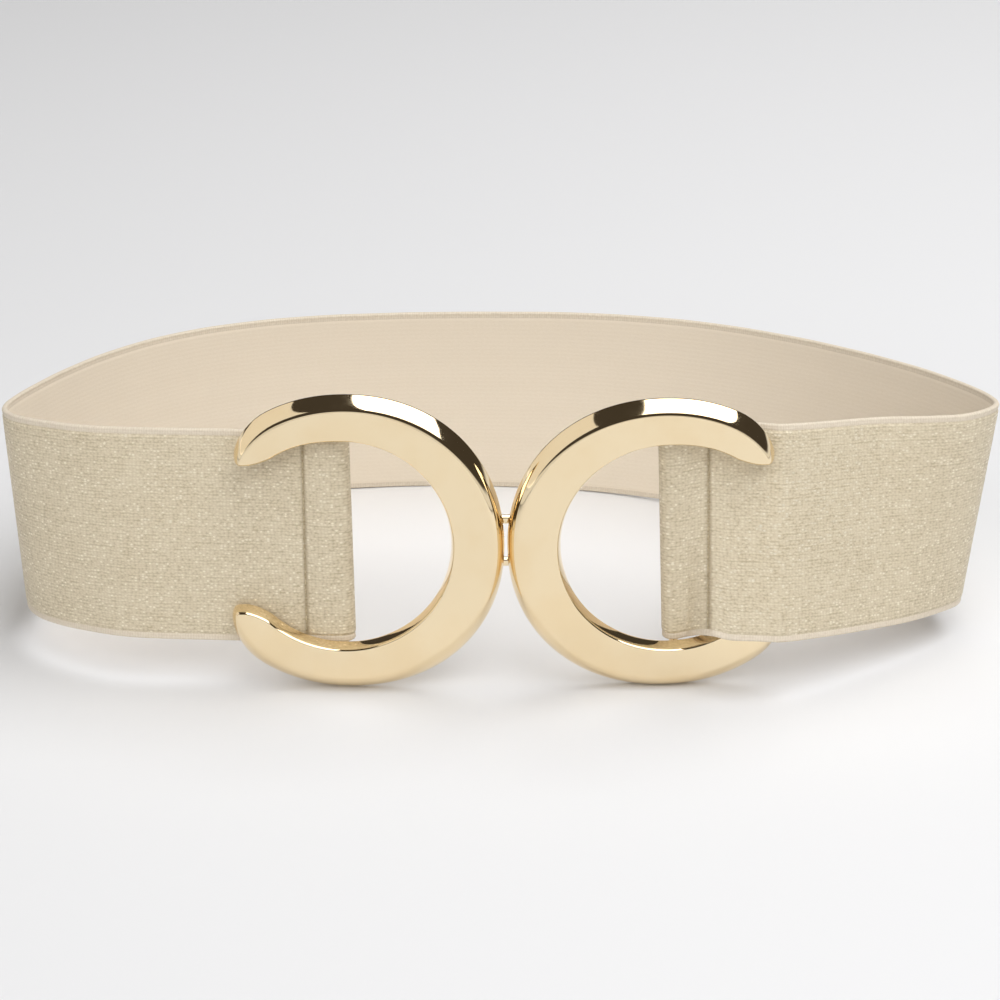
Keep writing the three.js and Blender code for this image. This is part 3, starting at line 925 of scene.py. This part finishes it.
@dataclass
class ElasticStrap:
    """The wide elastic that runs once round the waist, folded round a bar at each end."""

    left: OpenRing
    right: OpenRing
    name: str = "elastic_band"
    width: float = 57.0
    thickness: float = 1.6
    fold_clearance: float = 0.35
    fold_edge: float = 1.9
    stitch_distance: float = 12.4
    past_stitch: float = 3.6
    to_ring: float = 0.5
    half_length: float = 129.4
    front_depth: float = 31.5
    back_depth: float = 99.0
    skew: float = 13.0
    end_shape: float = 0.77
    front_shape: float = 1.02
    back_shape: float = 1.47
    loop_start: float = 232.0
    loop_finish: float = -39.0
    loop_rungs: int = 30
    flap_steps: int = 6
    fold_steps: int = 6
    front_steps: int = 8
    fine_step: float = 0.4
    loop_step: float = 2.4
    selvedge: float = 1.75
    selvedge_line: float = 0.95
    edge_rounding: float = 0.7
    selvedge_thinner: float = 0.09
    edge_ease: float = 0.6
    groove_depth: float = 0.2
    groove_half: float = 0.3
    line_depth: float = 0.08
    line_half: float = 0.22
    crease_depth: float = 0.75
    crease_half: float = 0.5
    shoulder_depth: float = 0.35
    shoulder_half: float = 2.6
    swell: float = 0.2
    swell_half: float = 2.6
    crease_fade: float = 2.5
    inner_selvedge: float = 1.7
    edge_columns: tuple[float, ...] = (
        0.0, 0.05, 0.18, 0.35, 0.55, 0.75, 0.95, 1.15, 1.35, 1.55, 1.75, 1.95, 2.2, 2.6, 3.3, 4.2
    )
    middle_columns: int = 14
    middle_margin: float = 6.5
    ripple: float = 0.1
    ripple_rate: float = 0.23
    ripple_slow_rate: float = 0.071
    ripple_phase: float = 1.3
    stitch_pitch: float = 2.5
    stitch_length: float = 1.9
    stitch_margin: float = 2.2
    thread_radius: float = 0.2
    thread_rings: int = 7
    thread_sides: int = 8

    @property
    def fold_radius(self) -> float:
        """Work out the radius of the strap's middle line round the bar."""
        return self.left.bar_radius + self.fold_clearance + self.thickness / 2

    @property
    def behind(self) -> float:
        """Work out the depth of the middle line where it lies behind the ring."""
        return self.left.thickness + self.to_ring + self.thickness / 2

    @property
    def before(self) -> float:
        """Work out the depth of the middle line where it lies before the ring's face."""
        return -self.to_ring - self.thickness / 2

    @property
    def stitch_u(self) -> float:
        """Work out how far the stitches are from the ring's centre."""
        return self.stitch_distance - self.fold_edge

    def end_rung(self, ring: OpenRing, rows: Sequence[dict[str, float]], u: float, deeper: float) -> tuple:
        """Place the strap's edges beside a ring.

        Args:
            ring: The ring.
            rows: How the strap's edges lie near it.
            u: The distance from the ring's centre, away from the clasp.
            deeper: How much deeper than the front run the strap is there.

        Returns:
            The upper and the lower edge in the loop frame.
        """
        share = u / ring.hole_half_width
        half = self.width / 2
        lift = read_rows(rows, "u", share, "lift") * self.width
        rise = read_rows(rows, "u", share, "squeeze") * self.width
        past_bar = ring.bar_u + ring.bar_radius
        place = ring.pose.matrix(1 - ease(u, past_bar, self.stitch_u), ring.to_centre)
        upper_depth = mix(self.behind, self.before, read_rows(rows, "u", share, "upper")) + deeper
        lower_depth = mix(self.behind, self.before, read_rows(rows, "u", share, "lower")) + deeper
        upper = place @ Vector((u, upper_depth, half + lift))
        lower = place @ Vector((u, lower_depth, rise + lift - half))
        return np.array(upper), np.array(lower)

    def end_rungs(self, ring: OpenRing, rows: Sequence[dict[str, float]]) -> list[Rung]:
        """List the rungs of one end: its turned flap, its fold and the stretch past the ring."""
        rungs = []
        radius = self.fold_radius
        turned_gap = self.thickness + self.fold_clearance
        past_bar = ring.bar_u + ring.bar_radius
        for step in range(self.flap_steps):
            u = mix(self.stitch_u + self.past_stitch, ring.bar_u, step / self.flap_steps)
            spread = ease(self.stitch_u - u, 0, self.stitch_u - past_bar)
            edges = self.end_rung(ring, rows, u, mix(turned_gap, 2 * radius, spread))
            rungs.append(Rung(*edges, Stretch.FLAP, u))
        for step in range(self.fold_steps):
            angle = math.pi * step / self.fold_steps
            u = ring.bar_u - radius * math.sin(angle)
            edges = self.end_rung(ring, rows, u, radius * (1 + math.cos(angle)))
            rungs.append(Rung(*edges, Stretch.FOLD, u))
        for step in range(self.front_steps + 1):
            u = mix(ring.bar_u, ring.hole_half_width, step / self.front_steps)
            rungs.append(Rung(*self.end_rung(ring, rows, u, 0.0), Stretch.FRONT, u))
        return rungs

    def loop_point(self, angle: float) -> np.ndarray:
        """Find a point of the loop's middle line, seen from above."""
        across, deep = math.cos(angle), math.sin(angle)
        reach = self.back_depth if deep > 0 else self.front_depth
        shape = self.back_shape if deep > 0 else self.front_shape
        x = self.half_length * signed_power(across, self.end_shape) - self.skew * deep**2
        return np.array((x, reach * signed_power(deep, shape), 0.0))

    def loop(self) -> list[Rung]:
        """List the rungs of the free loop, from its left junction round the back to its right one."""
        rungs = []
        small = math.radians(1)
        for step in range(self.loop_rungs + 1):
            share = step / self.loop_rungs
            angle = math.radians(mix(self.loop_start, self.loop_finish, share))
            along = self.loop_point(angle - small) - self.loop_point(angle + small)
            along /= np.linalg.norm(along)
            out = np.array((-along[1], along[0], 0.0))
            lean = math.radians(read_rows(LOOP_ROWS, "share", share, "lean"))
            middle = self.loop_point(angle)
            middle[2] = read_rows(LOOP_ROWS, "share", share, "lift") * self.width
            arm = (out * math.sin(lean) + np.array((0.0, 0.0, math.cos(lean)))) * (self.width / 2)
            rungs.append(Rung(middle + arm, middle - arm, Stretch.LOOP, 0.0))
        return rungs

    def slices(self, to_world: Matrix) -> list[Slice]:
        """Sample the strap finely along its whole length.

        Args:
            to_world: The matrix from the loop frame to the world.

        Returns:
            The cross-sections' frames in the world, in millimetres.
        """
        left = self.end_rungs(self.left, LEFT_END)
        right = self.end_rungs(self.right, RIGHT_END)[::-1]
        rungs = left + self.loop() + right
        turn = np.array(to_world.to_3x3())
        shift = np.array(to_world.translation)
        uppers = np.array([rung.upper for rung in rungs]) @ turn.T + shift
        lowers = np.array([rung.lower for rung in rungs]) @ turn.T + shift
        found = []
        for number, (start, end) in enumerate(zip(rungs, rungs[1:])):
            loose = Stretch.LOOP in (start.stretch, end.stretch)
            length = np.linalg.norm(uppers[number + 1] - uppers[number])
            steps = max(3, math.ceil(length / (self.loop_step if loose else self.fine_step)))
            side = Side.LEFT if number < len(rungs) / 2 else Side.RIGHT
            for step in range(steps + (number == len(rungs) - 2)):
                share = step / steps
                upper = curve_point(uppers, number, share)
                lower = curve_point(lowers, number, share)
                stretch = start.stretch if side is Side.LEFT else end.stretch
                u = 0.0 if loose else mix(start.u, end.u, share)
                found.append(Slice(upper, lower, np.zeros(3), stretch, u, 0.0, side))
        along = 0.0
        for number, one in enumerate(found):
            before, after = found[max(number - 1, 0)], found[min(number + 1, len(found) - 1)]
            middle_way = (after.upper + after.lower - before.upper - before.lower) / 2
            out = np.cross(one.upper - one.lower, middle_way)
            one.out = out / np.linalg.norm(out)
            if number:
                step = (one.upper + one.lower - before.upper - before.lower) / 2
                along += float(np.linalg.norm(step))
            one.along = along
        return found

    def surface(self, from_edge: float, one: Slice, face: Face) -> float:
        """Work out how far a surface of the strap is from its middle.

        Args:
            from_edge: The distance from the nearer long edge.
            one: The cross-section.
            face: The surface that is wanted.

        Returns:
            The distance, which the outside's crease at the stitches makes smaller.
        """
        half = self.thickness / 2
        if from_edge < self.edge_rounding:
            half *= math.sqrt(max(0.0, 1 - (1 - from_edge / self.edge_rounding) ** 2))
        thinner = 1 - ease(from_edge, self.selvedge, self.selvedge + self.edge_ease)
        half -= self.selvedge_thinner * thinner * min(1.0, from_edge / self.edge_rounding)
        if face is Face.OUTSIDE:
            half -= self.groove_depth * math.exp(-(((from_edge - self.selvedge) / self.groove_half) ** 2))
        half -= self.line_depth * math.exp(-(((from_edge - self.selvedge_line) / self.line_half) ** 2))
        sewn = one.stretch in (Stretch.FLAP, Stretch.FRONT)
        if sewn and face is Face.OUTSIDE:
            gap = one.u - self.stitch_u
            depth = self.crease_depth * math.exp(-((gap / self.crease_half) ** 2))
            depth += self.shoulder_depth * math.exp(-((gap / self.shoulder_half) ** 2))
            depth -= self.swell * math.exp(-(((gap + self.stitch_u / 2) / self.swell_half) ** 2))
            half -= depth * ease(from_edge, 0.0, self.crease_fade)
        return max(half, 0.0)

    def crease_shade_share(self, one: Slice) -> float:
        """Work out how deep in the sewn crease a cross-section is, from 0 to 1, which sets the painted
        shade there.
        """
        if one.stretch not in (Stretch.FLAP, Stretch.FRONT):
            return 0.0
        return math.exp(-(((one.u - self.stitch_u) / self.crease_half) ** 2))

    def build(self, to_world: Matrix) -> bpy.types.Object:
        """Build the strap's mesh, with its lay along and across and its crease's painted shade share kept
        for its finishes.

        Args:
            to_world: The matrix from the loop frame to the world.

        Returns:
            The strap's object.
        """
        near = list(self.edge_columns)
        margin = self.middle_margin
        middle = list(np.linspace(margin, self.width - margin, self.middle_columns))
        across = near + middle + [self.width - value for value in reversed(near)]
        cuts = self.slices(to_world)
        count = 2 * (len(across) - 1)
        points, lays = [], []
        for one in cuts:
            rise = one.upper - one.lower
            slow = math.sin(one.along * self.ripple_slow_rate + self.ripple_phase)
            sway = self.ripple * math.sin(one.along * self.ripple_rate) * slow
            for face in (Face.OUTSIDE, Face.INSIDE):
                order = across if face is Face.OUTSIDE else across[::-1]
                way = 1 if face is Face.OUTSIDE else -1
                for place in order[:-1]:
                    from_edge = min(place, self.width - place)
                    offset = way * self.surface(from_edge, one, face) + sway
                    points.append(one.upper - rise * (place / self.width) + one.out * offset)
                    # The third part of the lay sets the painted shade in the sewn crease.
                    lays.append((one.along, self.width - place, self.crease_shade_share(one)))
        faces, kinds = [], []
        half_count = len(across) - 1
        for number in range(len(cuts) - 1):
            for index in range(count):
                here = number * count + index
                there = number * count + (index + 1) % count
                faces.append([here, there, there + count, here + count])
                step = index % half_count
                place = (across[step] + across[step + 1]) / 2
                inside = index >= half_count
                edge = min(place, self.width - place) < (self.inner_selvedge if inside else self.selvedge)
                kinds.append(Face.SELVEDGE if edge else Face.INSIDE if inside else Face.OUTSIDE)
        faces.append(list(reversed(range(count))))
        faces.append([(len(cuts) - 1) * count + index for index in range(count)])
        kinds += [Face.SELVEDGE, Face.SELVEDGE]
        piece = new_piece(self.name, points, faces)
        layer = piece.data.attributes.new(LAY, "FLOAT_VECTOR", "POINT")
        layer.data.foreach_set("vector", np.array(lays, dtype=np.float32).ravel())
        piece.data.polygons.foreach_set("material_index", [kind.value for kind in kinds])
        self.cut_length = cuts[-1].along
        return piece

    def stitches(self, to_world: Matrix, side: Side) -> bpy.types.Object:
        """Sew one end: a row of stitches down its front and down its turned flap.

        Args:
            to_world: The matrix from the loop frame to the world.
            side: The end that is sewn.

        Returns:
            The thread's object.
        """
        cuts = [one for one in self.slices(to_world) if one.side is side]
        points, faces = [], []
        for stretch in (Stretch.FRONT, Stretch.FLAP):
            run = [one for one in cuts if one.stretch is stretch]
            one = min(run, key=lambda cut: abs(cut.u - self.stitch_u))
            rise = one.upper - one.lower
            upward = rise / np.linalg.norm(rise)
            sideways = np.cross(upward, one.out)
            number = int((self.width - 2 * self.stitch_margin) / self.stitch_pitch)
            for index in range(number):
                place = self.stitch_margin + (index + 0.5) * self.stitch_pitch
                base = one.upper - rise * (place / self.width)
                surface = self.surface(min(place, self.width - place), one, Face.OUTSIDE)
                self._stitch(points, faces, base + one.out * surface, upward, one.out, sideways)
        return new_piece(f"{side.name.lower()}_stitches", points, faces)

    def _stitch(self, points: list, faces: list, place: np.ndarray, *axes: np.ndarray) -> None:
        """Add one stitch: a short thread whose ends dive into the cloth.

        Args:
            points: The vertices so far.
            faces: The faces so far.
            place: Where the stitch lies on the cloth.
            axes: The ways up, out and sideways there.
        """
        upward, out, sideways = axes
        rings, sides = self.thread_rings, self.thread_sides
        first = len(points)
        for ring in range(rings):
            share = ring / (rings - 1)
            swell = math.sin(math.pi * mix(0.08, 0.92, share))
            middle = place + upward * ((share - 0.5) * self.stitch_length)
            middle = middle + out * (self.thread_radius * (1.1 * swell - 0.5))
            radius = self.thread_radius * (0.55 + 0.45 * swell)
            for number in range(sides):
                angle = math.tau * number / sides
                points.append(middle + radius * (out * math.cos(angle) + sideways * math.sin(angle)))
        for ring in range(rings - 1):
            for number in range(sides):
                here = first + ring * sides + number
                there = first + ring * sides + (number + 1) % sides
                faces.append([here, here + sides, there + sides, there])
        faces.append([first + number for number in range(sides)])
        last = first + (rings - 1) * sides
        faces.append([last + number for number in reversed(range(sides))])


@dataclass(frozen=True)
class Softbox:
    """One soft light: a lit sheet that the camera itself doesn't see."""

    name: str
    place: tuple[float, float, float]
    aim: tuple[float, float, float]
    size: tuple[float, float]
    brightness: float
    colour: Colour = (1.0, 1.0, 1.0)
    mirrored: bool = True
    lights_cloth: bool = True

    def build(self) -> None:
        """Hang the light and aim it."""
        lamp = bpy.data.lights.new(self.name, "AREA")
        lamp.shape = "RECTANGLE"
        lamp.size, lamp.size_y = self.size
        lamp.energy = self.brightness * math.pi * self.size[0] * self.size[1]
        lamp.color = self.colour
        light = bpy.data.objects.new(self.name, lamp)
        way = Vector(self.aim) - Vector(self.place)
        light.rotation_euler = way.to_track_quat("-Z", "Y").to_euler()
        light.location = self.place
        light.visible_camera = False
        light.visible_glossy = self.mirrored
        light.visible_diffuse = self.lights_cloth
        bpy.context.scene.collection.objects.link(light)


@dataclass
class Studio:
    """The floor, the room, the lights and the camera, in metres where not said otherwise."""

    floor_size: float = 12.0
    room_low: Colour = (0.80, 0.80, 0.80)
    room_high: Colour = (0.055, 0.046, 0.036)
    fade_from: float = 0.10
    fade_to: float = 0.20
    focal_px: float = 2965.0
    frame_px: float = 1000.0
    sensor: float = 36.0
    distance: float = 800.0
    elevation: float = 18.2
    off_middle: float = 0.7
    roll: float = 0.28
    lights: tuple[Softbox, ...] = field(
        default=(
            Softbox("key_softbox", (0.62, -0.45, 1.6), (0.62, -0.40, 0.0), (1.45, 3.4), 3.05),
            Softbox(
                "left_softbox", (-1.6, -0.4, 1.0), (-0.95, -0.4, 0.24), (3.4, 1.84), 0.8, (1.0, 0.96, 0.9),
                lights_cloth=False,
            ),
            Softbox("front_fill", (-1.3, -2.3, 1.7), (0.0, 0.0, 0.1), (3.0, 1.8), 1.75, mirrored=False),
        )
    )

    def floor(self) -> bpy.types.Object:
        """Lay the floor under the belt."""
        half = self.floor_size / 2 / METRE
        corners = [(-half, -half, 0), (half, -half, 0), (half, half, 0), (-half, half, 0)]
        floor = new_piece("floor", [Vector(corner) for corner in corners], [[0, 1, 2, 3]])
        floor.data.materials.append(StudioFloor().material())
        return floor

    def room(self) -> None:
        """Light the room evenly low down and leave it dim overhead."""
        world = bpy.data.worlds.new("room")
        bpy.context.scene.world = world
        world.use_nodes = True
        tree = world.node_tree
        place = tree.nodes.new("ShaderNodeTexCoord")
        parts = tree.nodes.new("ShaderNodeSeparateXYZ")
        fade = tree.nodes.new("ShaderNodeMapRange")
        fade.interpolation_type = "SMOOTHSTEP"
        fade.inputs["From Min"].default_value = self.fade_from
        fade.inputs["From Max"].default_value = self.fade_to
        blend = tree.nodes.new("ShaderNodeMix")
        blend.data_type = "RGBA"
        blend.inputs[6].default_value = (*self.room_low, 1.0)
        blend.inputs[7].default_value = (*self.room_high, 1.0)
        tree.links.new(place.outputs["Generated"], parts.inputs[0])
        tree.links.new(parts.outputs["Z"], fade.inputs["Value"])
        tree.links.new(fade.outputs[0], blend.inputs[0])
        tree.links.new(blend.outputs[2], tree.nodes["Background"].inputs["Color"])

    def camera(self, to_world: Matrix) -> None:
        """Set the camera up where the photograph was taken from.

        Args:
            to_world: The matrix from the loop frame to the world.
        """
        lens = bpy.data.cameras.new("camera")
        lens.sensor_width = self.sensor
        lens.lens = self.sensor * self.focal_px / self.frame_px
        lens.clip_start = 0.01
        lens.clip_end = 100.0
        down = math.radians(self.elevation)
        roll = math.radians(self.roll)
        view = Vector((0.0, math.cos(down), -math.sin(down)))
        level = Vector((1.0, 0.0, 0.0))
        upright = Vector((0.0, math.sin(down), math.cos(down)))
        right = level * math.cos(roll) - upright * math.sin(roll)
        top = level * math.sin(roll) + upright * math.cos(roll)
        place = (right + top) * self.off_middle - view * self.distance
        basis = Matrix((right, top, -view)).transposed().to_4x4()
        pose = to_world @ Matrix.Translation(place) @ basis
        camera = bpy.data.objects.new("camera", lens)
        camera.matrix_world = Matrix.Translation(pose.translation * METRE) @ pose.to_3x3().to_4x4()
        bpy.context.scene.collection.objects.link(camera)
        bpy.context.scene.camera = camera

    def build(self, to_world: Matrix) -> None:
        """Set up the whole studio."""
        self.camera(to_world)
        self.floor()
        self.room()
        for light in self.lights:
            light.build()
        bpy.context.scene.view_settings.view_transform = "Standard"


def finish_piece(piece: bpy.types.Object, slot: str, *materials: bpy.types.Material) -> None:
    """Dress a piece, let it ride with the belt and report it.

    Args:
        piece: The piece.
        slot: The record's material slot; not used.
        materials: Its materials, in order.
    """
    for material in materials:
        piece.data.materials.append(material)
    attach(piece, BODY)
    log.info("%s: %d faces", piece.name, len(piece.data.polygons))


def main() -> None:
    """Build the belt and its studio."""
    logging.basicConfig(level=logging.INFO, format="%(name)s: %(message)s")
    to_world = Stance().matrix()
    Studio().build(to_world)

    left = OpenRing(Pose(Side.LEFT, yaw=2.5, turn=-0.8, tilt=0.0, lift=0.2), "left_ring")
    right = OpenRing(Pose(Side.RIGHT, yaw=1.0, turn=1.8, tilt=3.0, lift=-0.4), "right_ring")
    gold = GoldPlating().material()
    fastening = Fastening()
    for ring, half_clasp in ((left, fastening.catch_frame), (right, fastening.hook)):
        pieces = [ring.band(to_world), ring.bar_and_lugs(to_world), half_clasp(to_world)]
        for piece in pieces:
            finish_piece(piece, "gold_metal", gold)
            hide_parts(ring.name)

    strap = ElasticStrap(left, right)
    band = strap.build(to_world)
    knits = [finish().material() for finish in (GlitterKnit, PlainKnit, SelvedgeWeave)]
    finish_piece(band, "elastic", *knits)
    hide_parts("elastic_strap")
    strap.cut_length * METRE
    thread = SewingThread().material()
    for side in Side:
        row = strap.stitches(to_world, side)
        finish_piece(row, "elastic", thread)


if __name__ == "__main__":
    main()
